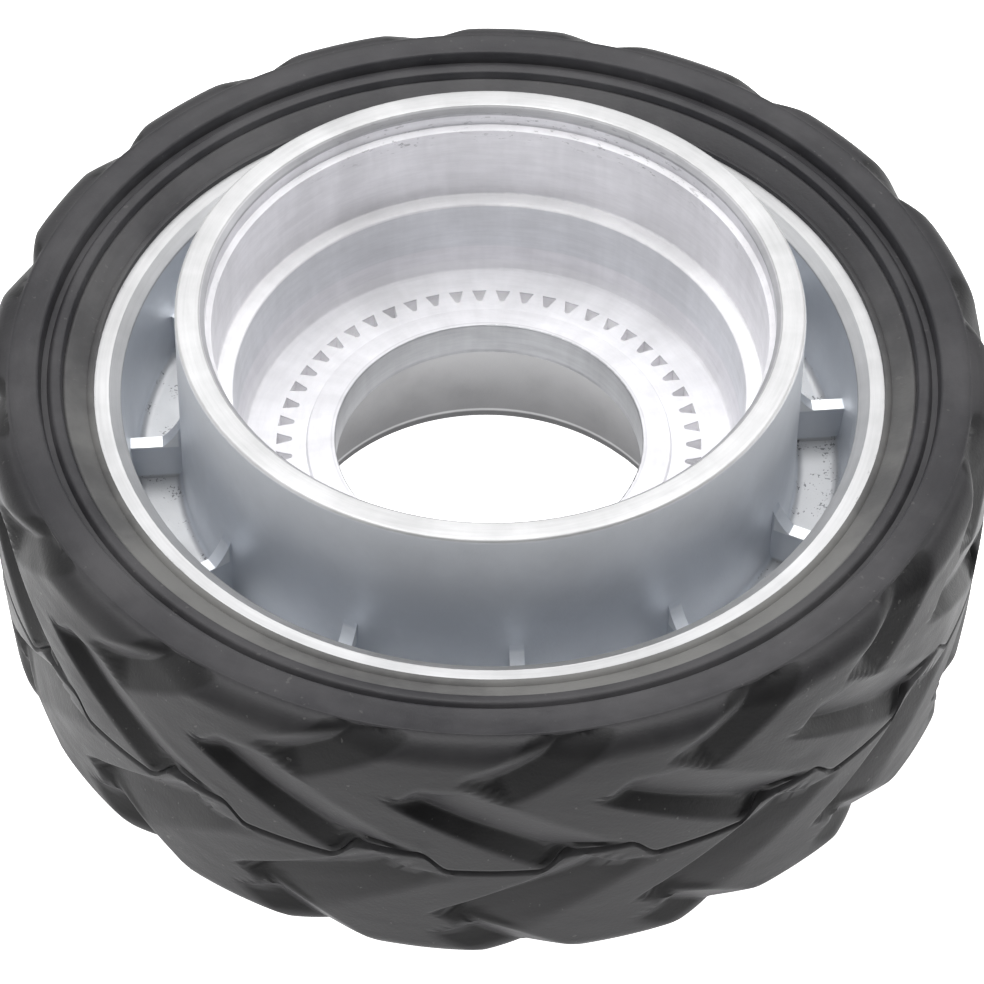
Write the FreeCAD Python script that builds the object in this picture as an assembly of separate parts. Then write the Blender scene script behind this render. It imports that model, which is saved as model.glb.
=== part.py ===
import FreeCAD, Part
import math
import os

os.makedirs("parts", exist_ok=True)

# A solid-tyred wheel that lies on its side: +Z is the wheel's axis, z = 0 is
# the plane it rests on, and the drum points up. All sizes in millimetres.
# Radial sizes run from the bore outwards, heights from the web upwards.

# Hub, radial sizes from the bore to the drum's outer wall
bore_radius = 35.5
collar_width = 6.8
pocket_margin = 3.2          # floor between the collar and the tooth pockets
pocket_length = 3.6
floor_margin = 7.3           # floor between the tooth pockets and the cup's wall
cup_cone = 1.6
cup_draft = 0.3
ledge_width = 3.9
lead_in_step = 1.3
land_bevel = 1.3
drum_land = 5.2
drum_draft = 0.9

# Hub, radial sizes from the drum to the tyre
channel_width = 10.5
rim_draft = 2.0
rim_bevel_width = 2.6
rim_land = 3.3

# Hub, heights
web_thickness = 6.0
bore_length = 9.4
floor_above_web = 4.3        # the cup's floor lies this far above the web
collar_step = 1.0
collar_rise = 2.1
cup_cone_height = 6.4
cup_wall_height = 13.4
seat_length = 20.1
lead_in_step_height = 0.8
lead_in_length = 5.0
land_bevel_height = 1.4
rim_bevel_drop = 1.8

# Hub, rounded corners
drum_corner = 0.8
land_corner = 0.4
ledge_corner = 0.5
cup_corner = 1.0
floor_corner = 0.6
collar_corner = 0.3
collar_draft = 0.4
bore_corner = 0.4
channel_corner = 2.5
rim_corner = 0.4

# Hub, cavity and skirt under the web
cavity_undercut = 9.9        # the cavity is this much wider than the bore
skirt_draft = 1.2
skirt_wall = 6.0
skirt_recess = 2.0           # the skirt ends this far above the resting plane
skirt_corner = 1.6
cavity_corner = 2.0

# Ring of tooth pockets sunk in the cup's floor
pocket_count = 54
pocket_outer_width = 3.5
pocket_inner_width = 1.5
pocket_depth = 4.0

# Radial ribs in the channel between drum and rim, and under the web
rib_count = 12
rib_thickness = 3.2
rib_height = 10.5
rib_gusset_reach = 4.2
rib_gusset_rise = 11.0
gusset_bite = 0.6            # the gusset runs out this deep inside the drum wall
rib_phase = -24.6            # angle of the first rib from +X, in degrees
lower_rib_height = 19.0

# Tyre: sidewall rings from the rim outwards
tyre_width = 74.0
rim_recess = 6.9             # the rim's edge lies this far inside the sidewall
lip_width = 1.1
lip_height = 1.2
lip_draft = 0.1
lip_groove_width = 1.1
lip_groove_depth = 0.6
inner_band_width = 4.1
inner_band_rise = 2.7
band_corner = 0.5
bead_groove_width = 0.9
bead_groove_depth = 0.4
bead_width = 2.2
bead_drop = 1.8
bead_slope = 0.3
bead_corner = 0.5
ring_groove_width = 2.7
ring_groove_depth = 3.1
outer_band_width = 7.1
outer_band_fall = 0.6
outer_band_corner = 0.6
edge_line_width = 0.9        # fine raised line round the sidewall's edge
edge_line_height = 0.35
tread_thickness = 6.5        # from the sidewall's edge out to the crown
crown_drop = 1.0
shoulder_radius = 6.2

# Chevron tread: grooves with sharp valleys. Places along the tread are shares of
# one chevron's pitch from its tip, heights are above the tyre's middle.
chevron_count = 16           # in each half of the width
tread_phase = -100.0         # angle of one chevron's tip from +X, in degrees
long_arm_stagger = 0.27      # the lower half's arms are set on by these shares
short_arm_stagger = 0.64
long_arm_depth = 3.3         # at the tip
long_arm_foot_depth = 1.6    # at the tyre's middle
tip_height = 18.0
head_at = 0.124
head_end_at = 0.422
head_height = 23.8
valley_head_height = 17.6
flank_foot_at = 1.080
flank_foot_height = 3.8
foot_at = 0.884
foot_height = 2.6
valley_foot_at = 0.853
valley_foot_height = 1.5
toe_at = 0.711
toe_height = -1.8
short_arm_depth = 3.0
short_start_at = 0.471
short_arm_valley = 22.5
short_left_at = 0.293
short_arm_left = 27.0
short_right_at = 0.613
short_arm_right = 19.0
shoulder_left_at = 0.644     # where the short arm crosses the shoulder
shoulder_valley_at = 0.862
shoulder_right_at = 0.924
short_end_at = 0.889
cutter_rise = 3.0            # the groove's cutter stands this far out of the tread

# Derived radii
collar_radius = bore_radius + collar_width
pocket_inner_radius = collar_radius + pocket_margin
pocket_outer_radius = pocket_inner_radius + pocket_length
cup_floor_radius = pocket_outer_radius + floor_margin
cup_foot_radius = cup_floor_radius + cup_cone
ledge_inner_radius = cup_foot_radius + cup_draft
seat_radius = ledge_inner_radius + ledge_width
lead_in_radius = seat_radius + lead_in_step
land_inner_radius = lead_in_radius + land_bevel
drum_radius = land_inner_radius + drum_land
drum_foot_radius = drum_radius + drum_draft
rim_foot_radius = drum_foot_radius + channel_width
rim_wall_radius = rim_foot_radius + rim_draft
rim_land_radius = rim_wall_radius + rim_bevel_width
rim_radius = rim_land_radius + rim_land
cavity_radius = bore_radius + cavity_undercut
skirt_inner_radius = cavity_radius + skirt_draft
skirt_outer_radius = skirt_inner_radius + skirt_wall
inner_band_radius = rim_radius + lip_width + lip_groove_width
bead_radius = inner_band_radius + inner_band_width + bead_groove_width
ring_groove_radius = bead_radius + bead_width
outer_band_radius = ring_groove_radius + ring_groove_width
sidewall_edge_radius = outer_band_radius + outer_band_width
tread_radius = sidewall_edge_radius + tread_thickness

# Derived heights
half = tyre_width / 2.0
rim_half = half - rim_recess
rim_top = half + rim_half
rim_bottom = half - rim_half
web_top = half + web_thickness / 2.0
web_bottom = half - web_thickness / 2.0
cup_floor = web_top + floor_above_web
bore_top = cup_floor + collar_rise
bore_bottom = bore_top - bore_length
cup_wall_foot = cup_floor + cup_cone_height
ledge = cup_wall_foot + cup_wall_height
seat_top = ledge + seat_length
lead_in_foot = seat_top + lead_in_step_height
drum_top = lead_in_foot + lead_in_length
shoulder_start = half - shoulder_radius
axis_point = FreeCAD.Vector(0, 0, 0)
axis_line = FreeCAD.Vector(0, 0, 1)


def vec(r, z):
    """Point of a cross-section, in the XZ plane."""
    return FreeCAD.Vector(r, 0, z)


def rounded_edges(corners, closed):
    """Edges through corners (r, z, corner radius)."""
    count = len(corners)
    cuts = []
    for i in range(count):
        here = vec(corners[i][0], corners[i][1])
        radius = corners[i][2]
        at_end = not closed and i in (0, count - 1)
        if radius <= 0.0 or at_end:
            cuts.append((here, None, here))
            continue
        before = vec(corners[i - 1][0], corners[i - 1][1])
        after = vec(corners[(i + 1) % count][0], corners[(i + 1) % count][1])
        to_before = (before - here).normalize()
        to_after = (after - here).normalize()
        half_angle = to_before.getAngle(to_after) / 2.0
        reach = radius / math.tan(half_angle)
        bisector = (to_before + to_after).normalize()
        top = here + bisector * (radius / math.sin(half_angle) - radius)
        cuts.append((here + to_before * reach, top, here + to_after * reach))
    edges = []
    for i in range(count):
        start, top, end = cuts[i]
        if top is not None:
            edges.append(Part.Arc(start, top, end).toShape())
        if closed or i < count - 1:
            edges.append(Part.makeLine(end, cuts[(i + 1) % count][0]))
    return edges


def turned(edges):
    """Solid of revolution about the wheel's axis."""
    return Part.Face(Part.Wire(edges)).revolve(axis_point, axis_line, 360)


def polar(r, angle, z):
    a = math.radians(angle)
    return FreeCAD.Vector(r * math.cos(a), r * math.sin(a), z)


def polyhedron(points, triangles):
    faces = []
    for tri in triangles:
        corners = [points[k] for k in tri]
        faces.append(Part.Face(Part.makePolygon(corners + [corners[0]])))
    solid = Part.Solid(Part.Shell(faces))
    if solid.Volume < 0:
        solid.reverse()
    return solid


def surface_radius(height):
    """Radius of the uncut tread at a height above the tyre's middle."""
    h = abs(height)
    if h <= shoulder_start:
        return tread_radius - crown_drop * (h / shoulder_start) ** 2
    over = min(h - shoulder_start, shoulder_radius)
    return tread_radius - crown_drop - shoulder_radius + math.sqrt(shoulder_radius ** 2 - over ** 2)


def carried(valley, edge):
    """Point beyond the tread, on the line from a valley point to an edge point."""
    reach = tread_radius + cutter_rise
    share = (reach - valley[2]) / (edge[2] - valley[2])
    return tuple(v + (e - v) * share for v, e in zip(valley, edge))


def on_tread(share, height, depth=0.0):
    """Share of the pitch, height and radius of a point on the tread, or below it."""
    return (share, height, surface_radius(height) - depth)


def groove_cutter(points, triangles, side, turn):
    corners = [polar(r, turn + share * pitch, half + side * h) for share, h, r in points]
    return polyhedron(corners, triangles)


# Tyre cross-section: upper sidewall rings, heights above the tyre's middle
lip_top = rim_half + lip_height
band_foot = lip_top - lip_groove_depth / 2.0
band_top = band_foot + inner_band_rise - lip_groove_depth / 2.0
edge_top = half - outer_band_fall
upper_side = [
    (rim_radius, rim_half, 0.0),
    (rim_radius + lip_draft, lip_top, 0.0),
    (rim_radius + lip_width, lip_top, 0.0),
    (rim_radius + lip_width + lip_groove_width / 2.0, lip_top - lip_groove_depth, 0.0),
    (inner_band_radius, band_foot, 0.0),
    (bead_radius - bead_groove_width, band_top, band_corner),
    (bead_radius - bead_groove_width / 2.0, band_top - bead_groove_depth, 0.0),
    (bead_radius, half - bead_drop - bead_slope, 0.0),
    (ring_groove_radius, half - bead_drop, bead_corner),
    (ring_groove_radius + ring_groove_width / 3.0, half - ring_groove_depth, 0.0),
    (outer_band_radius - ring_groove_width / 5.0, half - ring_groove_depth, 0.0),
    (outer_band_radius, half, outer_band_corner),
    (sidewall_edge_radius - edge_line_width, edge_top, 0.0),
    (sidewall_edge_radius - edge_line_width / 2.0, edge_top + edge_line_height, 0.0),
    (sidewall_edge_radius, edge_top, 0.0),
]
upper = [(r, half + h, f) for r, h, f in upper_side]
lower = [(r, half - h, f) for r, h, f in reversed(upper_side)]
sidewalls = rounded_edges(lower + upper, False)
shoulder_mid = shoulder_start + shoulder_radius * 3.0 / 4.0
tread_points = [
    (sidewall_edge_radius, edge_top),
    (surface_radius(shoulder_mid), shoulder_mid),
    (surface_radius(shoulder_start), shoulder_start),
    (tread_radius, 0.0),
    (surface_radius(shoulder_start), -shoulder_start),
    (surface_radius(shoulder_mid), -shoulder_mid),
    (sidewall_edge_radius, -edge_top),
]
tread_points = [vec(r, half + h) for r, h in tread_points]
tread_edges = [Part.Arc(*tread_points[i:i + 3]).toShape() for i in (0, 2, 4)]
tyre = turned(sidewalls + tread_edges)

# Long arm of a chevron: steep flank on its leading side, broad flank on the
# other, and a bent wall where it ends at the tyre's middle
pitch = 360.0 / chevron_count
valley_head = on_tread(head_at, valley_head_height, long_arm_depth)
valley_foot = on_tread(valley_foot_at, valley_foot_height, long_arm_foot_depth)
long_arm = [
    carried(valley_head, on_tread(0.0, tip_height)),
    carried(valley_head, on_tread(head_at, head_height)),
    carried(valley_head, on_tread(head_end_at, head_height)),
    carried(valley_foot, on_tread(flank_foot_at, flank_foot_height)),
    carried(valley_foot, on_tread(foot_at, foot_height)),
    carried(valley_foot, on_tread(toe_at, toe_height)),
    valley_head,
    valley_foot,
]
long_faces = [
    (0, 6, 7), (0, 7, 5), (0, 1, 6), (1, 2, 6), (2, 3, 7), (2, 7, 6),
    (3, 4, 7), (4, 5, 7), (0, 5, 4), (0, 4, 1), (1, 4, 2), (2, 4, 3),
]

# Short arm: runs down over the shoulder to the sidewall's edge, with a broad
# flank on its left and a steep one on its right
past_side = half + edge_line_height
short_start = on_tread(short_start_at, short_arm_valley, short_arm_depth)
shoulder_valley = (shoulder_valley_at, shoulder_mid, sidewall_edge_radius)
left_out = carried(shoulder_valley, on_tread(shoulder_left_at, shoulder_mid))
right_out = carried(shoulder_valley, on_tread(shoulder_right_at, shoulder_mid))
short_arm = [
    short_start,
    (short_end_at, past_side, sidewall_edge_radius),
    carried(short_start, on_tread(short_left_at, short_arm_left)),
    (left_out[0], past_side, left_out[2]),
    carried(short_start, on_tread(short_right_at, short_arm_right)),
    (right_out[0], past_side, right_out[2]),
]
short_faces = [
    (0, 1, 3), (0, 3, 2), (0, 4, 5), (0, 5, 1), (0, 2, 4), (1, 5, 3),
    (2, 3, 5), (2, 5, 4),
]

cutters = []
for k in range(chevron_count):
    turn = tread_phase + k * pitch
    cutters.append(groove_cutter(long_arm, long_faces, 1.0, turn))
    cutters.append(groove_cutter(short_arm, short_faces, 1.0, turn))
    cutters.append(groove_cutter(long_arm, long_faces, -1.0, turn + long_arm_stagger * pitch))
    cutters.append(groove_cutter(short_arm, short_faces, -1.0, turn + short_arm_stagger * pitch))
tyre = tyre.cut(cutters)
tyre.exportStep("parts/tyre.step")

# Hub casting, turned outline: rim, channel, drum, cup, bore, cavity under the
# web, skirt, lower channel
hub = turned(rounded_edges([
    (rim_radius, rim_bottom, 0.0),
    (rim_radius, rim_top, 0.0),
    (rim_land_radius, rim_top, 0.0),
    (rim_wall_radius, rim_top - rim_bevel_drop, rim_corner),
    (rim_foot_radius, web_top, channel_corner),
    (drum_foot_radius, web_top, channel_corner),
    (drum_radius, drum_top, drum_corner),
    (land_inner_radius, drum_top, land_corner),
    (lead_in_radius, drum_top - land_bevel_height, 0.0),
    (lead_in_radius, lead_in_foot, 0.0),
    (seat_radius, seat_top, 0.0),
    (seat_radius, ledge, ledge_corner),
    (ledge_inner_radius, ledge, ledge_corner),
    (cup_foot_radius, cup_wall_foot, cup_corner),
    (cup_floor_radius, cup_floor, floor_corner),
    (collar_radius, cup_floor, 0.0),
    (collar_radius - collar_draft, cup_floor + collar_step, collar_corner),
    (bore_radius, bore_top, bore_corner),
    (bore_radius, bore_bottom, bore_corner),
    (cavity_radius, web_bottom, cavity_corner),
    (skirt_inner_radius, skirt_recess, skirt_corner),
    (skirt_outer_radius, skirt_recess, skirt_corner),
    (skirt_outer_radius + skirt_draft, web_bottom, channel_corner),
    (rim_foot_radius, web_bottom, channel_corner),
    (rim_wall_radius, rim_bottom + rim_bevel_drop, rim_corner),
    (rim_land_radius, rim_bottom, 0.0),
], True))

# Ribs above the web rise up the drum in a gusset
rib_top = web_top + rib_height
drum_side = drum_foot_radius - drum_draft * rib_height / (drum_top - web_top)
gusset_end = drum_foot_radius - drum_draft - gusset_bite
rib_inside = drum_radius - drum_land / 2.0
rib_outside = rim_wall_radius + rim_bevel_width / 2.0
rib_curve = Part.Arc(
    vec(drum_side + rib_gusset_reach, rib_top),
    vec(drum_side + rib_gusset_reach * 0.30, rib_top + rib_gusset_rise * 0.30),
    vec(gusset_end, rib_top + rib_gusset_rise),
)
rib_wire = Part.Wire([
    Part.makeLine(vec(rib_outside, half), vec(rib_outside, rib_top)),
    Part.makeLine(vec(rib_outside, rib_top), vec(drum_side + rib_gusset_reach, rib_top)),
    rib_curve.toShape(),
    Part.makeLine(vec(gusset_end, rib_top + rib_gusset_rise), vec(rib_inside, rib_top + rib_gusset_rise)),
    Part.makeLine(vec(rib_inside, rib_top + rib_gusset_rise), vec(rib_inside, half)),
    Part.makeLine(vec(rib_inside, half), vec(rib_outside, half)),
])
rib = Part.Face(rib_wire).extrude(FreeCAD.Vector(0, rib_thickness, 0))
rib.translate(FreeCAD.Vector(0, -rib_thickness / 2.0, 0))

# Ribs below the web, from the skirt to the rim
low_inside = skirt_outer_radius - skirt_wall / 3.0
low_rib = Part.makeBox(
    rib_outside - low_inside,
    rib_thickness,
    lower_rib_height + web_thickness / 2.0,
    FreeCAD.Vector(low_inside, -rib_thickness / 2.0, web_bottom - lower_rib_height),
)

ribs = []
for k in range(rib_count):
    angle = rib_phase + k * 360.0 / rib_count
    for shape in (rib, low_rib):
        one = shape.copy()
        one.rotate(axis_point, axis_line, angle)
        ribs.append(one)
hub = hub.fuse(ribs)

# Tooth pockets: wide flat wall outside, rounded tip inside
pocket_half = pocket_outer_width / 2.0
pocket_tip = pocket_inner_width / 2.0
tip_start = pocket_inner_radius + pocket_tip
pocket_corners = [
    FreeCAD.Vector(tip_start, -pocket_tip, 0),
    FreeCAD.Vector(pocket_outer_radius, -pocket_half, 0),
    FreeCAD.Vector(pocket_outer_radius, pocket_half, 0),
    FreeCAD.Vector(tip_start, pocket_tip, 0),
]
pocket_edges = Part.makePolygon(pocket_corners).Edges
tip_middle = FreeCAD.Vector(pocket_inner_radius, 0, 0)
pocket_edges.append(Part.Arc(pocket_corners[3], tip_middle, pocket_corners[0]).toShape())
pocket = Part.Face(Part.Wire(pocket_edges)).extrude(FreeCAD.Vector(0, 0, pocket_depth + collar_rise))
pocket.translate(FreeCAD.Vector(0, 0, cup_floor - pocket_depth))
pockets = []
for k in range(pocket_count):
    one = pocket.copy()
    one.rotate(axis_point, axis_line, k * 360.0 / pocket_count)
    pockets.append(one)
hub = hub.cut(pockets)
hub.exportStep("parts/wheel_hub.step")

for name, shape in (("tyre", tyre), ("wheel_hub", hub)):
    print(name, "valid", shape.isValid(), "solids", len(shape.Solids), "faces", len(shape.Faces))
    print("  volume cm3", round(shape.Volume / 1000.0, 1))
print("tyre diameter", round(tread_radius * 2.0, 2), "height", round(drum_top, 2))
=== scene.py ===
# %% [markdown]
# # A solid-tyred wheel, dressed around its CAD frame
# The wheel has two real pieces: a die-cast aluminium hub and a rubber tyre that
# is moulded onto it. The imported CAD model comes in first and fixes every size.

# %% Load the frame
import math
import bmesh
import bpy
from mathutils import Matrix, Vector


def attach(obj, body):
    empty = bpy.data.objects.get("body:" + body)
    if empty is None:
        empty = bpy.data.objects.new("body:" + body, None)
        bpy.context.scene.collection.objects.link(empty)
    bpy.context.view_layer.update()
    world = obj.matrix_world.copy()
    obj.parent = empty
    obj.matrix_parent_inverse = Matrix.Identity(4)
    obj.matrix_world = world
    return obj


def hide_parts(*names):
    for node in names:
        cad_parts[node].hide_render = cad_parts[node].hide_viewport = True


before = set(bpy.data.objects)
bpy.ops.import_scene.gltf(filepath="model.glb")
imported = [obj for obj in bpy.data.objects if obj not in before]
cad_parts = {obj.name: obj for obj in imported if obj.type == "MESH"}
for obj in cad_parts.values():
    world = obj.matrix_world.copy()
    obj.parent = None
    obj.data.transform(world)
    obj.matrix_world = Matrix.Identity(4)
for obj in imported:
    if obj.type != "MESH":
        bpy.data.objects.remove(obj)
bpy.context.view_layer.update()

MM = 0.001

# %% [markdown]
# ## Camera
# The photograph looks down on the wheel at about 48 degrees, with the camera a
# touch rolled. Distance and lens were fitted to the circles of drum and rim, so
# the ellipses in the render lie on those of the photograph. The camera is built
# from its own right, up and backward axes, because that keeps the roll exact.

# %% Camera
IMAGE_SIDE = 984
FOCAL_PIXELS = 3600.0
aim = Vector((0.876, 0.0, 26.70)) * MM
distance = 845.28 * MM
elevation = 0.84571
roll = 0.013565


def add_object(name, data):
    """A new object, placed in the scene."""
    item = bpy.data.objects.new(name, data)
    bpy.context.scene.collection.objects.link(item)
    return item


eye = aim + distance * Vector((0.0, -math.cos(elevation), math.sin(elevation)))
forward = (aim - eye).normalized()
right = Vector((1.0, 0.0, 0.0))
up = right.cross(forward)
rolled_right = right * math.cos(roll) + up * math.sin(roll)
rolled_up = up * math.cos(roll) - right * math.sin(roll)

camera_data = bpy.data.cameras.new("Camera")
camera_data.sensor_width = 36.0
camera_data.lens = camera_data.sensor_width * FOCAL_PIXELS / IMAGE_SIDE
camera = add_object("Camera", camera_data)
place = Matrix((rolled_right, rolled_up, -forward)).transposed().to_4x4()
place.translation = eye
camera.matrix_world = place
bpy.context.scene.camera = camera
print("camera at", [round(v, 4) for v in eye], "lens", round(camera_data.lens, 1))

# %% [markdown]
# ## Helpers for node trees
# The light, the shape of the tread and the finishes are rules on numbers that
# differ from point to point. A small class lets such a rule be written as
# ordinary sums in Python, while every sum becomes a Math node in the tree.

# %% Fields
TO_MM = 1000.0


def feed(tree, socket, value):
    """Give an input a number, or link a field to it."""
    if isinstance(value, Field):
        tree.links.new(value.socket, socket)
    else:
        socket.default_value = value


class Field:
    """A number that differs from point to point: one output of a node tree."""

    def __init__(self, tree, socket):
        self.tree = tree
        self.socket = socket

    def math(self, operation, *others):
        node = self.tree.nodes.new("ShaderNodeMath")
        node.operation = operation
        for slot, value in enumerate((self,) + others):
            feed(self.tree, node.inputs[slot], value)
        return Field(self.tree, node.outputs[0])

    def __add__(self, other):
        return self.math("ADD", other)

    def __sub__(self, other):
        return self.math("SUBTRACT", other)

    def __mul__(self, other):
        return self.math("MULTIPLY", other)

    def __truediv__(self, other):
        return self.math("DIVIDE", other)

    def times_plus(self, factor, addend):
        return self.math("MULTIPLY_ADD", factor, addend)

    def between(self, low, high, to_low=0.0, to_high=1.0, smooth=True):
        """Ramp from to_low to to_high as the number goes from low to high."""
        node = self.tree.nodes.new("ShaderNodeMapRange")
        node.interpolation_type = "SMOOTHSTEP" if smooth else "LINEAR"
        values = {"Value": self, "From Min": low, "From Max": high,
                  "To Min": to_low, "To Max": to_high}
        for name, value in values.items():
            feed(self.tree, node.inputs[name], value)
        return Field(self.tree, node.outputs["Result"])


def parts_of(tree, vector):
    """The x, y and z of a vector output, as fields."""
    node = tree.nodes.new("ShaderNodeSeparateXYZ")
    tree.links.new(vector, node.inputs[0])
    return [Field(tree, output) for output in node.outputs]


def parts_in_mm(tree, vector):
    return [part * TO_MM for part in parts_of(tree, vector)]


def from_axis(x, y):
    """Distance from the wheel's axis."""
    return (x * x + y * y).math("SQRT")


print("helpers ready")

# %% [markdown]
# ## Floor and light
# The wheel lies on a white sweep. Light comes from above, behind and the left,
# while the front right is dark: that is why the tread, which faces the camera, is
# lit mostly from the floor below it. A world that changes with direction gives
# that in one step, and a floor that glows a little near the wheel sends the light
# up. Three large lamps add the sheen on the lands and shoulders.

# %% Floor and light
WHITE = (1.0, 1.0, 1.0, 1.0)
FLOOR_HALF = 6.0
FLOOR_COLOUR = (0.90, 0.90, 0.90, 1.0)
GLOW_REACH = (0.13, 0.26)
GLOW_STRENGTH = (1.25, 0.45)
OPEN_SIDE = (-0.42, 0.68, 0.60)
SKY_TURN = (-0.35, 0.60)
SKY_STRENGTH = (0.11, 0.95)

bpy.context.scene.view_settings.view_transform = "Standard"

floor_mesh = bpy.data.meshes.new("Floor")
corners = [(x * FLOOR_HALF, y * FLOOR_HALF, 0) for x, y in ((-1, -1), (1, -1), (1, 1), (-1, 1))]
floor_mesh.from_pydata(corners, [], [(0, 1, 2, 3)])
floor = add_object("Floor", floor_mesh)
floor_white = bpy.data.materials.new("floor_white")
floor_white.use_nodes = True
floor_tree = floor_white.node_tree
floor_shader = floor_tree.nodes["Principled BSDF"]
floor_shader.inputs["Base Color"].default_value = FLOOR_COLOUR
floor_shader.inputs["Roughness"].default_value = 0.9
floor_shader.inputs["Specular IOR Level"].default_value = 0.0
floor_shader.inputs["Emission Color"].default_value = WHITE
floor_reach = floor_tree.nodes.new("ShaderNodeVectorMath")
floor_reach.operation = "LENGTH"
floor_spot = floor_tree.nodes.new("ShaderNodeTexCoord").outputs["Object"]
floor_tree.links.new(floor_spot, floor_reach.inputs[0])
glow_fall = Field(floor_tree, floor_reach.outputs["Value"]).between(*GLOW_REACH, *GLOW_STRENGTH)
feed(floor_tree, floor_shader.inputs["Emission Strength"], glow_fall)
floor_mesh.materials.append(floor_white)


def soft_lamp(name, spot, target, size, watts):
    """A square soft box that faces its target."""
    data = bpy.data.lights.new(name, "AREA")
    data.shape = "SQUARE"
    data.size = size
    data.energy = watts
    lamp = add_object(name, data)
    lamp.location = spot
    lamp.rotation_euler = (Vector(target) - Vector(spot)).to_track_quat("-Z", "Y").to_euler()


WHEEL_HEART = (0, 0, 0.05)
soft_lamp("Back_top_light", (0.0, 0.35, 1.45), WHEEL_HEART, 1.0, 15.0)
soft_lamp("Right_light", (1.3, 0.35, 0.35), WHEEL_HEART, 0.8, 6.0)
soft_lamp("Left_light", (-1.3, -0.1, 0.35), WHEEL_HEART, 0.8, 2.0)

world = bpy.data.worlds.new("Studio")
world.use_nodes = True
bpy.context.scene.world = world
sky = world.node_tree
backdrop = sky.nodes["Background"]
backdrop.inputs["Color"].default_value = WHITE
look_along = sky.nodes.new("ShaderNodeVectorMath")
look_along.operation = "DOT_PRODUCT"
look_along.inputs[1].default_value = OPEN_SIDE
look = sky.nodes.new("ShaderNodeTexCoord").outputs["Generated"]
sky.links.new(look, look_along.inputs[0])
openness = Field(sky, look_along.outputs["Value"]).between(*SKY_TURN, *SKY_STRENGTH)
feed(sky, backdrop.inputs["Strength"], openness)

# %% [markdown]
# ## Shared surface effects
# Four effects return in both finishes, so each is a node group with named
# inputs: a patchy tone for stains and handling, a fine grain for the skin of
# cast metal or rubber, specks for pits and dirt, and ring lines. On the metal
# the ring lines are the tool marks of a lathe, and one very coarse set of them is
# painted sheen, broad patches of reflection round the turned faces; on the rubber
# they are scuffs from rolling. Both run round the wheel's axis, so noise is read
# on a coordinate that changes fast across the rings and slowly along them.

# %% Shader groups
FLOAT, VECTOR = "NodeSocketFloat", "NodeSocketVector"


def new_group(name, numbers, output):
    """A shader group with a Vector input, named number inputs and one output."""
    group = bpy.data.node_groups.new(name, "ShaderNodeTree")
    group.interface.new_socket("Vector", in_out="INPUT", socket_type=VECTOR)
    for socket, default in numbers.items():
        item = group.interface.new_socket(socket, in_out="INPUT", socket_type=FLOAT)
        item.default_value = default
    group.interface.new_socket(output, in_out="OUTPUT", socket_type=FLOAT)
    entry, exit_node = group.nodes.new("NodeGroupInput"), group.nodes.new("NodeGroupOutput")
    values = {socket: Field(group, entry.outputs[socket]) for socket in numbers}
    return group, entry.outputs["Vector"], values, exit_node.inputs[0]


def noise_field(tree, vector, scale, detail=3.0, roughness=0.55):
    node = tree.nodes.new("ShaderNodeTexNoise")
    tree.links.new(vector, node.inputs["Vector"])
    for name, value in (("Scale", scale), ("Detail", detail), ("Roughness", roughness)):
        feed(tree, node.inputs[name], value)
    return Field(tree, node.outputs["Fac"])


patchy, spot, value, result = new_group(
    "patchy_tone", {"Scale": 30.0, "Low": 0.9, "High": 1.1}, "Tone")
tone = noise_field(patchy, spot, value["Scale"], 5.0, 0.6)
feed(patchy, result, tone.between(0.32, 0.68, value["Low"], value["High"]))

grain, spot, value, result = new_group("fine_grain", {"Scale": 900.0}, "Height")
feed(grain, result, noise_field(grain, spot, value["Scale"]))

specks, spot, value, result = new_group(
    "specks", {"Scale": 700.0, "Cluster Scale": 90.0, "Amount": 0.5}, "Mask")
fine = noise_field(specks, spot, value["Scale"], 2.0, 0.5)
clusters = noise_field(specks, spot, value["Cluster Scale"], 2.0, 0.5).between(0.40, 0.66)
edge = value["Amount"] * clusters * -0.22 + 0.74
feed(specks, result, fine.between(edge, edge + 0.05))

rings, spot, value, result = new_group(
    "ring_lines", {"Fineness": 1500.0, "Length": 2.0}, "Lines")
x, y, z = parts_of(rings, spot)
radius = from_axis(x, y)
stretch = value["Length"] / radius
ring_spot = rings.nodes.new("ShaderNodeCombineXYZ")
for slot, number in enumerate((x * stretch, y * stretch, (radius + z) * value["Fineness"])):
    feed(rings, ring_spot.inputs[slot], number)
feed(rings, result, noise_field(rings, ring_spot.outputs[0], 1.0, 4.0, 0.65))
print("groups", [g.name for g in bpy.data.node_groups])

# %% [markdown]
# ## Cast and turned aluminium
# The hub is one casting, and a lathe has brightened only parts of it: the end
# face of the drum, all of its inside, the bore, and the narrow land of the rim.
# The rest keeps the blue-grey skin of the mould, with pits in the floor between
# the ribs. One material holds every finish. Masks tell them apart by the distance
# from the axis and the height, so the mesh needs no extra faces.

# %% Masks on the hub


def use_group(tree, group, vector, **values):
    """Place a group in a material and give back its output."""
    node = tree.nodes.new("ShaderNodeGroup")
    node.node_tree = group
    tree.links.new(vector, node.inputs["Vector"])
    for name, value in values.items():
        node.inputs[name.replace("_", " ")].default_value = value
    return Field(tree, node.outputs[0])


hub_metal = bpy.data.materials.new("cast_and_turned_aluminium")
hub_metal.use_nodes = True
metal = hub_metal.node_tree
where = metal.nodes.new("ShaderNodeTexCoord").outputs["Object"]
hx, hy, hz = parts_in_mm(metal, where)
hr = from_axis(hx, hy)


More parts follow.
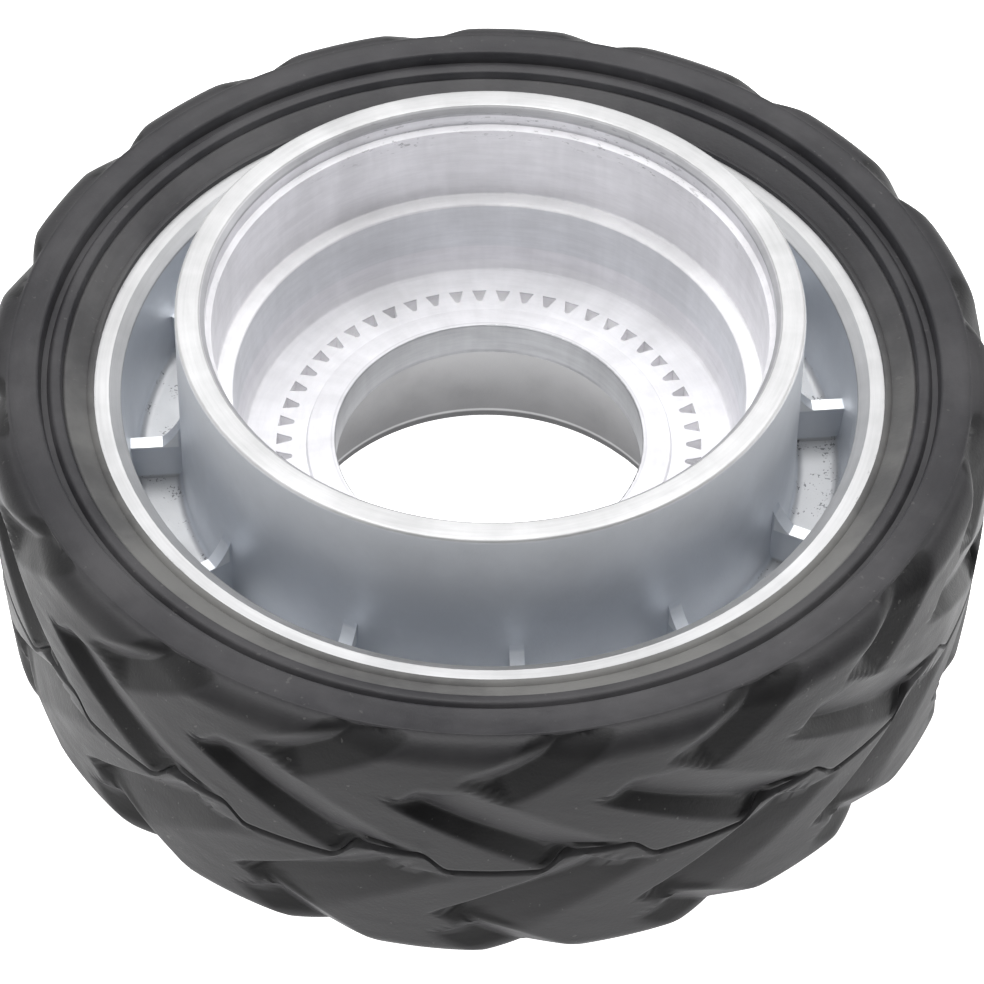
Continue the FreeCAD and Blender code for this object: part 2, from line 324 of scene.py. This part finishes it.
def zone(low_r, high_r, low_z, high_z, soft=0.3):
    """One inside a ring of radii and heights in mm. None leaves a side open."""
    sides = ((hr, low_r, 0.0, 1.0), (hr, high_r, 1.0, 0.0),
             (hz, low_z, 0.0, 1.0), (hz, high_z, 1.0, 0.0))
    edges = [place.between(at - soft, at + soft, *ends)
             for place, at, *ends in sides if at is not None]
    return math.prod(edges[1:], start=edges[0])


def either(first, *others):
    """The largest of several masks."""
    for mask in others:
        first = first.math("MAXIMUM", mask)
    return first


drum_inside = zone(None, 65.0, 36.9, None)
drum_end = zone(60.0, 72.0, 89.5, None)
upper_land = zone(83.2, None, 64.8, None)
lower_land = zone(83.2, None, None, 9.2)
turned = either(drum_inside, drum_end, upper_land, lower_land)
as_cast = turned * -1.0 + 1.0
cup_wall = zone(56.0, 61.0, 50.7, 63.6)
bore = zone(None, 36.5, 36.9, 46.2, 0.2)
lands = either(zone(64.5, 72.0, 89.3, None), upper_land)
ledge = zone(58.0, 62.0, 63.5, 64.8)
cup_flats = either(zone(35.8, 57.5, 43.8, 47.0), ledge)
pocket = zone(45.0, 49.6, 30.0, 43.9, 0.2)
under_bore = zone(34.0, 37.0, 36.0, 38.2, 0.5)
# The edge where the drum's end turns into its lead-in, painted as a dark line of shade.
lead_edge_shade_zone = zone(62.9, 64.9, 87.9, 89.6, 0.15)
lead_in = zone(61.0, 66.0, 81.0, 89.6, 1.5)
cavity = zone(None, 54.0, None, 37.0)
# Ring of the cavity's lip, which gets a painted highlight.
cavity_lip_highlight = zone(None, 54.0, 4.9, 5.6, 0.25)
rib_tops = zone(71.2, 82.0, 50.2, 62.5, 0.25)
channel_floor = zone(71.5, 82.0, 33.0, 41.0, 0.5)
rim_edge = zone(88.7, None, 64.8, None, 0.25)
print("hub masks", len(metal.nodes), "nodes")

# %% [markdown]
# Colour, roughness and relief follow from the masks. Turned faces are bright with
# fine rings and broad patches of painted sheen, and a few dark specks sit where the
# drum's wall meets its lead-in; the lead-in's edge is a painted dark line of shade.
# The ledge and the pockets are painted pale as painted light. The flats of the cup
# are matt and its lower edge is smudged. The bore and the cavity below are darkened
# as painted shade, the cavity darker still towards its foot, with a paler lip as a
# painted highlight. Cast faces are duller and grainy, and the rib tops at the drum
# carry a painted highlight.

# %% Hub material
# Painted shade: black under the cavity's foot band.
PAINTED_SHADE_BLACK = (0.0, 0.0, 0.0)
CAST_SKIN = (0.75, 0.775, 0.815)
# Painted highlight: near white on the rib tops and gussets at the drum.
RIB_TOPS_PAINTED_HIGHLIGHT = (0.95, 0.96, 0.975)
CHANNEL_SKIN = (0.58, 0.585, 0.595)
# Painted shade and highlight in the cavity: a darkened wall, a darker foot band and a paler lip.
CAVITY_SKIN_SHADED = (0.38, 0.38, 0.385)
CAVITY_FOOT_SHADE = (0.19, 0.19, 0.195)
CAVITY_LIP_HIGHLIGHT = (0.40, 0.40, 0.405)
TURNED_BRIGHT = (0.82, 0.815, 0.84)
TURNED_CUP = (0.76, 0.77, 0.795)
# Painted light: the ledge and the tooth pockets are painted near white.
LEDGE_AND_POCKET_PAINTED_LIGHT = (0.99, 0.985, 1.0)
TURNED_LAND = (0.53, 0.53, 0.535)
# Painted shade: the turned bore is darkened.
TURNED_BORE_SHADED = (0.40, 0.405, 0.42)
# Painted shade: a dark line at the lead-in edge.
LEAD_EDGE_PAINTED_SHADE = (0.50, 0.50, 0.52)
DIRT = (0.16, 0.16, 0.17)
MATT_FLATS = 0.75
STAIN_SPAN = (0.95, 1.03)
NOISE_SPAN = (0.3, 0.7)


def mix_colour(tree, factor, first, second):
    node = tree.nodes.new("ShaderNodeMix")
    node.data_type = "RGBA"
    feed(tree, node.inputs["Factor"], factor)
    for slot, value in ((6, first), (7, second)):
        if isinstance(value, tuple):
            node.inputs[slot].default_value = value + (1.0,)
        else:
            tree.links.new(value, node.inputs[slot])
    return node.outputs[2]


def layered(tree, colour, *coats):
    """A colour under coats, each of them a mask and a colour."""
    for mask, coat in coats:
        colour = mix_colour(tree, mask, colour, coat)
    return colour


def scale_colour(tree, colour, factor):
    node = tree.nodes.new("ShaderNodeVectorMath")
    node.operation = "SCALE"
    tree.links.new(colour, node.inputs[0])
    feed(tree, node.inputs["Scale"], factor)
    return node.outputs[0]


def add_relief(tree, shader, height, strength, depth):
    """Fine relief that only bends the light."""
    node = tree.nodes.new("ShaderNodeBump")
    node.inputs["Strength"].default_value = strength
    node.inputs["Distance"].default_value = depth
    feed(tree, node.inputs["Height"], height)
    tree.links.new(node.outputs[0], shader.inputs["Normal"])


metal_shader = metal.nodes["Principled BSDF"]
bare = either(cup_flats, pocket) * -MATT_FLATS + 1.0
feed(metal, metal_shader.inputs["Metallic"], bare)
fine_rings = use_group(metal, rings, where, Fineness=2200.0, Length=2.0)
wide_rings = use_group(metal, rings, where, Fineness=420.0, Length=5.0)
# Painted sheen: coarse rings that lighten and darken the turned faces in broad patches of
# reflection.
painted_sheen_patches = use_group(metal, rings, where, Fineness=14.0, Length=4.0)
stains = use_group(metal, patchy, where, Scale=34.0, Low=STAIN_SPAN[0], High=STAIN_SPAN[1])
cast_grain = use_group(metal, grain, where, Scale=1500.0)
pits = use_group(metal, specks, where, Scale=1500.0, Cluster_Scale=170.0, Amount=0.9)
pits = pits * channel_floor
streaks = use_group(metal, rings, where, Fineness=900.0, Length=26.0).between(0.58, 0.66)
streaks = streaks * use_group(metal, patchy, where, Scale=24.0, Low=0.0, High=1.0)
lead_dirt = lead_in * (hx * 0.6 + hy).between(10.0, 60.0, 0.25, 0.9)
smudge = under_bore * use_group(metal, patchy, where, Scale=48.0, Low=0.0, High=0.75)
dirt = either(streaks * either(lead_dirt, rim_edge), smudge)

# Painted shade in the cavity, darkest at its foot, with a painted highlight on the lip.
shaded_cavity_colour = layered(
    metal, PAINTED_SHADE_BLACK, (hz.between(4.4, 4.9, 0.6, 1.0), CAVITY_FOOT_SHADE),
    (hz.between(5.0, 36.0), CAVITY_SKIN_SHADED), (cavity_lip_highlight, CAVITY_LIP_HIGHLIGHT))
# The rib tops get a painted highlight and the cavity its painted shade.
cast_colour = layered(
    metal, CAST_SKIN, (channel_floor, CHANNEL_SKIN), (rib_tops, RIB_TOPS_PAINTED_HIGHLIGHT),
    (cavity, shaded_cavity_colour))
# The bore and the lead-in edge get painted shade, the ledge and the pockets painted light.
turned_colour = layered(
    metal, TURNED_BRIGHT, (cup_wall, TURNED_CUP), (lands, TURNED_LAND),
    (either(ledge, pocket), LEDGE_AND_POCKET_PAINTED_LIGHT), (bore, TURNED_BORE_SHADED), (lead_edge_shade_zone, LEAD_EDGE_PAINTED_SHADE))
both = mix_colour(metal, turned, cast_colour, turned_colour)
# Ring marks tone the turned faces, and the painted sheen patches lighten and darken them.
ring_marks_and_painted_sheen = wide_rings.between(*NOISE_SPAN, 1.02, 0.95) * painted_sheen_patches.between(*NOISE_SPAN, 0.94, 1.06)
both = scale_colour(metal, both, stains * (ring_marks_and_painted_sheen * turned + as_cast))
both = mix_colour(metal, either(pits * 0.75, dirt * 0.7), both, DIRT)
metal.links.new(both, metal_shader.inputs["Base Color"])

turned_rough = fine_rings.between(*NOISE_SPAN, 0.54, 0.64) + pocket * 0.3 + cup_flats * 0.10
cast_rough = stains.between(*STAIN_SPAN, 0.60, 0.52) - rib_tops * 0.16
rough = turned_rough * turned + cast_rough * as_cast
feed(metal, metal_shader.inputs["Roughness"], rough)
relief = fine_rings * turned * 0.30 + (cast_grain - pits * 1.5) * as_cast
add_relief(metal, metal_shader, relief, 0.35, 0.12 * MM)
print("hub finish", len(metal.nodes), "nodes")

# %% [markdown]
# The hub's shape is right as CAD gives it, but its triangles are loose, and where
# a turned face closes on itself the shading normals of its two ends differ by two
# degrees. On metal that shows as a line. The hub is therefore shown by a merged
# copy of the same triangles. Normals that meet at a point within a few degrees
# are averaged, and real corners stay sharp.

# %% Hub shell
SAME_FACE = math.cos(math.radians(8.0))
MICRONS = 1e6


def spot_key(point):
    return tuple(round(c * MICRONS) for c in point)


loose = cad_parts["wheel_hub"].data
loose_spots = [loose.vertices[loop.vertex_index].co.copy() for loop in loose.loops]
loose_normals = [normal.vector.copy() for normal in loose.corner_normals]
meeting = {}
for point, normal in zip(loose_spots, loose_normals):
    here = meeting.setdefault(spot_key(point), {})
    here[tuple(round(c, 3) for c in normal)] = normal
even_normals = []
for point, normal in zip(loose_spots, loose_normals):
    around = [n for n in meeting[spot_key(point)].values() if n.dot(normal) > SAME_FACE]
    even_normals.append(sum(around, Vector()).normalized())

shell = bmesh.new()
shell.from_mesh(loose)
source = shell.faces.layers.int.new("source_face")
for face in shell.faces:
    face[source] = face.index
bmesh.ops.remove_doubles(shell, verts=shell.verts, dist=1.0 / MICRONS)
open_edges = sum(1 for e in shell.edges if len(e.link_faces) != 2)
hub_mesh = bpy.data.meshes.new("cast_hub")
shell.to_mesh(hub_mesh)
shell.free()
origins = [item.value for item in hub_mesh.attributes["source_face"].data]
corner_normals = []
for face in hub_mesh.polygons:
    face.use_smooth = True
    face.material_index = 0
    twins = loose.polygons[origins[face.index]].loop_indices
    for corner in face.loop_indices:
        point = hub_mesh.vertices[hub_mesh.loops[corner].vertex_index].co
        twin = min(twins, key=lambda k: (loose_spots[k] - point).length)
        corner_normals.append(even_normals[twin])
hub_mesh.normals_split_custom_set(corner_normals)
hub_mesh.materials.clear()
hub_mesh.materials.append(hub_metal)
hub_piece = add_object("cast_hub", hub_mesh)
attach(hub_piece, "root")
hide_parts("wheel_hub")
print("hub", len(hub_mesh.polygons), "of", len(loose.polygons), "faces", open_edges, "open edges")

# %% [markdown]
# ## Rubber
# The tyre is matte black rubber with a greyish, faintly dusty skin. Its tone is
# patchy where hands and the mould touched it, and rolling has left faint lines round
# the tread. A pale dusty film sits on the inner band, painted paler still towards
# the front as painted light. The side is painted lighter and the tread darker, as
# painted light from above. In the grooves the flanks that face up get painted shade
# and those that face down painted light, so the chevrons read clearly. Roughness
# follows the same patches. The tyre's tree writes how deep a point lies in a groove
# into an attribute, which is read here.

# %% Rubber material
RUBBER_DARK = (0.018, 0.0175, 0.0195)
RUBBER_GREY = (0.038, 0.037, 0.039)
RUBBER_DUST_AND_LIGHT = (0.20, 0.198, 0.19)
DUST = (0.16, 0.155, 0.15)
RUBBER_ROUGH = 0.45
RUBBER_SHEEN = 0.24

rubber = bpy.data.materials.new("tyre_rubber")
rubber.use_nodes = True
skin = rubber.node_tree
skin_shader = skin.nodes["Principled BSDF"]
skin_shader.inputs["Specular IOR Level"].default_value = RUBBER_SHEEN
skin_where = skin.nodes.new("ShaderNodeTexCoord").outputs["Object"]
sx, sy, _ = parts_in_mm(skin, skin_where)
skin_radius = from_axis(sx, sy)
facing = skin.nodes.new("ShaderNodeNewGeometry").outputs["Normal"]
upward = parts_of(skin, facing)[2]
groove_note = skin.nodes.new("ShaderNodeAttribute")
groove_note.attribute_name = "groove"
in_groove = Field(skin, groove_note.outputs["Fac"]).between(0.02, 0.20)
film = use_group(skin, patchy, skin_where, Scale=26.0, Low=0.0, High=1.0)
scuffs = use_group(skin, rings, skin_where, Fineness=300.0, Length=6.0)
dust = use_group(skin, specks, skin_where, Scale=600.0, Cluster_Scale=40.0, Amount=0.35)
skin_grain = use_group(skin, grain, skin_where, Scale=1300.0)

skin_colour = mix_colour(skin, film, RUBBER_DARK, RUBBER_GREY)
# Painted light and shade: in the grooves, flanks that face down are paler and flanks that face up
# darker.
flank_painted_light = upward.between(-0.30, 0.0, 1.5, 1.0) * upward.between(0.08, 0.35, 1.0, 0.38)
flank_painted_light = flank_painted_light * in_groove + (in_groove * -1.0 + 1.0)
scuff_tone_and_painted_light = scuffs.between(*NOISE_SPAN, 0.88, 1.10) * flank_painted_light
# Painted light: the tyre's side, which faces up, is lighter and the tread darker.
scuff_tone_and_painted_light = scuff_tone_and_painted_light * skin_radius.between(106.0, 112.0, 1.70, 0.88)
skin_colour = scale_colour(skin, skin_colour, scuff_tone_and_painted_light)
# A pale dusty film on the inner band, painted stronger towards the front as painted light.
inner_band_front_lit = skin_radius.between(95.2, 96.6, 1.0, 0.0) * sy.between(-60.0, 50.0, 1.0, 0.1)
band_dust_and_front_light = inner_band_front_lit * film.between(0.0, 1.0, 0.35, 0.8)
skin_colour = layered(skin, skin_colour, (band_dust_and_front_light, RUBBER_DUST_AND_LIGHT), (dust * 0.25, DUST))
skin.links.new(skin_colour, skin_shader.inputs["Base Color"])
skin_rough = film.between(0.0, 1.0, RUBBER_ROUGH, RUBBER_ROUGH + 0.12)
skin_rough = skin_rough + scuffs.between(*NOISE_SPAN, -0.04, 0.04)
feed(skin, skin_shader.inputs["Roughness"], skin_rough)
add_relief(skin, skin_shader, skin_grain + scuffs * 0.8, 0.4, 0.16 * MM)
print("rubber finish", len(skin.nodes), "nodes")

# %% [markdown]
# ## The tyre
# The tyre is one moulded ring. Its section is easy to draw: a flat side with a
# few fine steps and grooves, a round shoulder and a slightly crowned tread. The
# chevrons are the hard part, because every groove has sharp valleys and lugs
# with softened edges. Cutting them with solids gives knife edges, so the ring is
# made by Geometry Nodes instead: the section is swept round the axis, and each
# point of the tread is then pushed in as far as the grooves' flanks say.
#
# First comes the section, as a closed line of (radius, height) points. Heights
# count from the tyre's middle, and the lower side mirrors the upper one.

# %% Section of the tyre
TYRE_MIDDLE = 37.0
CROWN = 115.0
SHOULDER = (114.0, 30.8)
SHOULDER_MIDDLE = (111.9, 35.45)
SHOULDER_STEPS = 8
SIDE_EDGE = (108.5, 36.4)
LINE_ROWS = [0.22, 0.44, 0.9, 1.5]
FIRST_CROWN_ROW = 2.2
CROWN_ROWS = 25


def arc_points(first, middle, last, count):
    """Points on the circle through three points, without the first one."""
    ax, ay, bx, by, cx, cy = *first, *middle, *last
    twice = 2.0 * (ax * (by - cy) + bx * (cy - ay) + cx * (ay - by))
    a2, b2, c2 = ax * ax + ay * ay, bx * bx + by * by, cx * cx + cy * cy
    ox = (a2 * (by - cy) + b2 * (cy - ay) + c2 * (ay - by)) / twice
    oy = (a2 * (cx - bx) + b2 * (ax - cx) + c2 * (bx - ax)) / twice
    size = math.hypot(ax - ox, ay - oy)
    start, end = math.atan2(ay - oy, ax - ox), math.atan2(cy - oy, cx - ox)
    angles = [start + (end - start) * k / count for k in range(1, count + 1)]
    return [(ox + size * math.cos(a), oy + size * math.sin(a)) for a in angles]


def eased(before, corner, after, cut):
    """A corner replaced by three points that round it off."""
    def toward(other):
        length = math.dist(corner, other)
        return tuple(c + (o - c) * cut / length for c, o in zip(corner, other))
    first, last = toward(before), toward(after)
    middle = tuple((f + 2.0 * c + l) / 4.0 for f, c, l in zip(first, corner, last))
    return [first, middle, last]


def crown_radius(height):
    return CROWN - (CROWN - SHOULDER[0]) * (height / SHOULDER[1]) ** 2


# Radius, height and how much of the corner is rounded off.
side_line = [
    (89.3, 30.1, 0), (89.4, 31.3, 0), (90.4, 31.3, 0), (90.95, 30.7, 0), (91.5, 31.0, 0),
    (95.6, 33.4, 0.5), (96.05, 33.0, 0), (96.5, 34.9, 0.25), (98.7, 35.2, 0.5),
    (99.6, 33.9, 0), (100.86, 33.9, 0), (101.4, 37.0, 0.6), (107.6, 36.4, 0),
    (108.05, 36.75, 0.2), SIDE_EDGE + (0,),
]
upper_side = []
for k, (r, h, cut) in enumerate(side_line):
    if cut:
        upper_side += eased(side_line[k - 1][:2], (r, h), side_line[k + 1][:2], cut)
    else:
        upper_side.append((r, h))
shoulder = arc_points(SIDE_EDGE, SHOULDER_MIDDLE, SHOULDER, SHOULDER_STEPS)
crown_span = SHOULDER[1] - FIRST_CROWN_ROW
crown_rows = [FIRST_CROWN_ROW + crown_span * k / CROWN_ROWS for k in range(CROWN_ROWS)]
upper_tread = [(crown_radius(h), h) for h in sorted(LINE_ROWS + crown_rows, reverse=True)]
half_section = upper_side + shoulder + upper_tread
section = half_section + [(CROWN, 0.0)] + [(r, -h) for r, h in reversed(half_section)]
print("section", len(section), "points")

# %% [markdown]
# Each groove is a tent turned upside down: two flanks that meet in a valley. The
# long arms run from below the shoulder to the tyre's middle, the short arms over
# the shoulder. Unrolled, their edges and valleys are straight lines, so a groove
# is given by lines between points, as shares of one chevron's pitch and heights.
# A flank falls evenly from its edge line to the valley line, the ends are ramps,
# and the depth of the groove is the least of these. One node group makes it.

# %% Groove rule
CHEVRONS = 16
PITCH = 2.0 * math.pi / CHEVRONS
ARC = CROWN * PITCH
PAST_EDGE = -1.5
LEAST_WIDTH = 0.3
VALLEY_ROUNDING = 0.06
END_ROUNDING = 0.3


def line_distance(share, rise, first, last, inner):
    """Distance from a line on the unrolled tread, positive on the inner point's side."""
    across, climb = (last[0] - first[0]) * ARC, last[1] - first[1]
    turn = Vector((-climb, across)).normalized()
    if turn.dot(((inner[0] - first[0]) * ARC, inner[1] - first[1])) < 0.0:
        turn = -turn
    start = -turn.x * ARC * first[0] - turn.y * first[1]
    return share.times_plus(turn.x * ARC, rise.times_plus(turn.y, start))


def groove_group(name, near_edge, valley, far_edge, depths, walls):
    """Node group: depth of a groove at a share of the pitch and a height."""
    group = bpy.data.node_groups.new(name, "GeometryNodeTree")
    for socket in ("Share", "Height"):
        group.interface.new_socket(socket, in_out="INPUT", socket_type=FLOAT)
    group.interface.new_socket("Depth", in_out="OUTPUT", socket_type=FLOAT)
    entry, exit_node = group.nodes.new("NodeGroupInput"), group.nodes.new("NodeGroupOutput")
    share, rise = Field(group, entry.outputs["Share"]), Field(group, entry.outputs["Height"])
    middle = tuple((first + last) / 2.0 for first, last in zip(*valley))
    from_valley = line_distance(share, rise, *valley, near_edge[0])
    flanks = []
    for edge, beyond in ((near_edge, from_valley), (far_edge, from_valley * -1.0)):
        inside = line_distance(share, rise, *edge, middle).math("MAXIMUM", PAST_EDGE)
        width = (inside + beyond.math("MAXIMUM", 0.0)).math("MAXIMUM", LEAST_WIDTH)
        flanks.append(inside / width)
    along = share.between(valley[0][0], valley[1][0], *depths, smooth=False)
    depth = flanks[0].math("SMOOTH_MIN", flanks[1], VALLEY_ROUNDING) * along
    for lines in walls:
        ramp = either(*(line_distance(share, rise, first, last, middle) * slope
                        for first, last, slope in lines))
        depth = depth.math("SMOOTH_MIN", ramp, END_ROUNDING)
    feed(group, exit_node.inputs["Depth"], depth)
    return group


long_group = groove_group(
    "long_arm_depth", ((0.0, 18.0), (0.711, -1.8)), ((0.124, 17.6), (0.853, 1.5)),
    ((0.440, 24.2), (1.080, 5.0)), (3.4, 2.8),
    [[((0.0, 18.0), (0.124, 24.2), 0.8)], [((0.124, 24.2), (0.440, 24.2), 0.55)],
     [((1.080, 3.8), (0.884, 2.6), 1.3), ((0.884, 2.6), (0.711, -1.8), 1.3)]])
short_group = groove_group(
    "short_arm_depth", ((0.300, 28.0), (0.590, 35.45)), ((0.439, 24.1), (0.816, 35.45)),
    ((0.572, 19.7), (1.080, 35.45)), (3.0, 3.6), [[((0.300, 28.0), (0.572, 19.7), 0.8)]])
print("grooves", [(group.name, len(group.nodes)) for group in (long_group, short_group)])

# %% [markdown]
# The tyre's own tree sweeps the section round a circle and bends the grid before
# it is pushed in: columns lean along the arms, and the middle row follows the
# zigzag line where the two halves of the mould met. Grooves then lie along the
# grid instead of across it, so their edges come out clean at a modest size. The
# lower half uses the same grooves, mirrored and set on round the tyre.

# %% Tread tree
SWEEP_RADIUS = 100.0
ARM_LEAN = 0.0453
SHORT_LEAN = 0.0335
ARM_CHANGE = 20.5
SHORT_REACH = 15.0
ZIGZAG_TURN = (0.21, 0.36)
ZIGZAG_HEIGHT = (-2.8, 2.7)
ZIGZAG_FADE = (1.5, 9.0)
CROWN_BAND = (107.6, 110.5)
GROOVE_BLEND = 0.4
PARTING_HALF = 0.9
WOBBLE_SCALE = 55.0
FULL_DEPTH = 3.3

tread = bpy.data.node_groups.new("chevron_tyre", "GeometryNodeTree")
tread_inputs = [
    ("Segments Around", "NodeSocketInt", 784), ("Tip Angle", FLOAT, math.radians(-100.0)),
    ("Long Arm Stagger", FLOAT, 0.21), ("Short Arm Stagger", FLOAT, 0.88),
    ("Edge Softness", FLOAT, 0.5),
    ("Parting Line Depth", FLOAT, 1.0), ("Unevenness", FLOAT, 0.25),
]
tread.interface.new_socket("Section", in_out="INPUT", socket_type="NodeSocketGeometry")
for name, kind, value in tread_inputs:
    tread.interface.new_socket(name, in_out="INPUT", socket_type=kind).default_value = value
tread.interface.new_socket("Rubber", in_out="INPUT", socket_type="NodeSocketMaterial")
tread.interface.new_socket("Tyre", in_out="OUTPUT", socket_type="NodeSocketGeometry")
entry, exit_node = tread.nodes.new("NodeGroupInput"), tread.nodes.new("NodeGroupOutput")
setting = {name: Field(tread, entry.outputs[name]) for name, _, _ in tread_inputs}

circle = tread.nodes.new("GeometryNodeCurvePrimitiveCircle")
circle.inputs["Radius"].default_value = SWEEP_RADIUS * MM
tread.links.new(entry.outputs["Segments Around"], circle.inputs["Resolution"])
upright = tread.nodes.new("GeometryNodeSetCurveNormal")
upright.mode = "Z_UP"
tread.links.new(circle.outputs["Curve"], upright.inputs["Curve"])
to_line = tread.nodes.new("GeometryNodeMeshToCurve")
tread.links.new(entry.outputs["Section"], to_line.inputs["Mesh"])
sweep = tread.nodes.new("GeometryNodeCurveToMesh")
tread.links.new(upright.outputs["Curve"], sweep.inputs["Curve"])
tread.links.new(to_line.outputs["Curve"], sweep.inputs["Profile Curve"])

here = tread.nodes.new("GeometryNodeInputPosition").outputs[0]
px, py, pz = parts_in_mm(tread, here)
plain_radius = from_axis(px, py)
row = pz - TYRE_MIDDLE
reach = row.math("ABSOLUTE")
lean = reach.math("MINIMUM", ARM_CHANGE) * -ARM_LEAN
past_arm = (reach - ARM_CHANGE).math("MAXIMUM", 0.0).math("MINIMUM", SHORT_REACH)
lean = lean + past_arm * SHORT_LEAN
column = (py.math("ARCTAN2", px) - setting["Tip Angle"]) / PITCH + lean

zigzag = (column.math("FRACT") - 0.5).math("ABSOLUTE").between(*ZIGZAG_TURN, *ZIGZAG_HEIGHT)
height = row + zigzag * reach.between(*ZIGZAG_FADE, 1.0, 0.0)


def groove(group, share, rise):
    """The depth that one groove group gives."""
    node = tread.nodes.new("GeometryNodeGroup")
    node.node_tree = group
    feed(tread, node.inputs["Share"], share)
    feed(tread, node.inputs["Height"], rise)
    return Field(tread, node.outputs["Depth"])


grooves = []
lower_long = column - setting["Long Arm Stagger"]
lower_short = column - setting["Short Arm Stagger"]
for rise, long_at, short_at in ((height, column, column), (height * -1.0, lower_long, lower_short)):
    for group, at in ((long_group, long_at), (short_group, short_at)):
        share = at.math("FRACT")
        grooves += [groove(group, share, rise), groove(group, share + 1.0, rise)]
cut_depth = grooves[0]
for other in grooves[1:]:
    cut_depth = cut_depth.math("SMOOTH_MAX", other, GROOVE_BLEND)

on_crown = plain_radius.between(*CROWN_BAND)
wobble = noise_field(tread, here, WOBBLE_SCALE, 2.0, 0.5)
uneven = (wobble - 0.5) * setting["Unevenness"] * on_crown
parting = reach.between(0.0, PARTING_HALF, 1.0, 0.0, smooth=False)
parting = parting * setting["Parting Line Depth"] * on_crown
cut_depth = cut_depth.math("SMOOTH_MAX", 0.0, setting["Edge Softness"]) * on_crown
deepest = plain_radius.math("MINIMUM", SIDE_EDGE[0])
cut_radius = (plain_radius - cut_depth).math("MAXIMUM", deepest)
new_radius = cut_radius + uneven - parting - setting["Unevenness"] * 0.5 * on_crown
depth = (plain_radius - cut_radius) / FULL_DEPTH

angle = column * PITCH + setting["Tip Angle"]
joined = tread.nodes.new("ShaderNodeCombineXYZ")
spot = (new_radius * angle.math("COSINE"), new_radius * angle.math("SINE"), height + TYRE_MIDDLE)
for slot, value in enumerate(spot):
    feed(tread, joined.inputs[slot], value * MM)
note_depth = tread.nodes.new("GeometryNodeStoreNamedAttribute")
note_depth.data_type = "FLOAT"
note_depth.domain = "POINT"
note_depth.inputs["Name"].default_value = "groove"
feed(tread, note_depth.inputs["Value"], depth)
move = tread.nodes.new("GeometryNodeSetPosition")
tread.links.new(joined.outputs[0], move.inputs["Position"])
smooth = tread.nodes.new("GeometryNodeSetShadeSmooth")
real = tread.nodes.new("GeometryNodeRealizeInstances")
dress = tread.nodes.new("GeometryNodeSetMaterial")
tread.links.new(entry.outputs["Rubber"], dress.inputs["Material"])
shape = sweep.outputs["Mesh"]
for node in (note_depth, move, smooth, real, dress):
    tread.links.new(shape, node.inputs["Geometry"])
    shape = node.outputs["Geometry"]
tread.links.new(shape, exit_node.inputs["Tyre"])
print("tread tree", len(tread.nodes), "nodes")

# %% [markdown]
# The section goes in as a line of edges, drawn around the sweep's own radius. The
# evaluated ring is copied to a plain mesh, its normals are set outwards, and it
# takes the place of the CAD tyre. Its open edges and its volume are printed: a
# sound ring has none of the first, and the second shows that it isn't inside out.

# %% Make the tyre
SHARP_ANGLE = math.radians(55.0)
CM3 = 1e6

section_mesh = bpy.data.meshes.new("tyre_section")
line_points = [((r - SWEEP_RADIUS) * MM, -(h + TYRE_MIDDLE) * MM, 0.0) for r, h in section]
count = len(line_points)
section_mesh.from_pydata(line_points, [(k, (k + 1) % count) for k in range(count)], [])
tyre_maker = add_object("tyre_section", section_mesh)
modifier = tyre_maker.modifiers.new("Tread", "NODES")
modifier.node_group = tread
sockets = {item.name: item.identifier
           for item in tread.interface.items_tree if item.in_out == "INPUT"}
for name, _, value in tread_inputs:
    modifier[sockets[name]] = value
modifier[sockets["Rubber"]] = rubber

seen = bpy.context.evaluated_depsgraph_get()
tyre_mesh = bpy.data.meshes.new_from_object(tyre_maker.evaluated_get(seen))
bpy.data.objects.remove(tyre_maker)
shell = bmesh.new()
shell.from_mesh(tyre_mesh)
bmesh.ops.recalc_face_normals(shell, faces=shell.faces)
shell.to_mesh(tyre_mesh)
open_edges = sum(1 for e in shell.edges if len(e.link_faces) != 2)
volume = shell.calc_volume(signed=True) * CM3
shell.free()
tyre_mesh.set_sharp_from_angle(angle=SHARP_ANGLE)
tyre_piece = add_object("solid_tyre", tyre_mesh)
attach(tyre_piece, "root")
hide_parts("tyre")
print("tyre", len(tyre_mesh.polygons), "faces", open_edges, "open edges", round(volume, 1), "cm3")
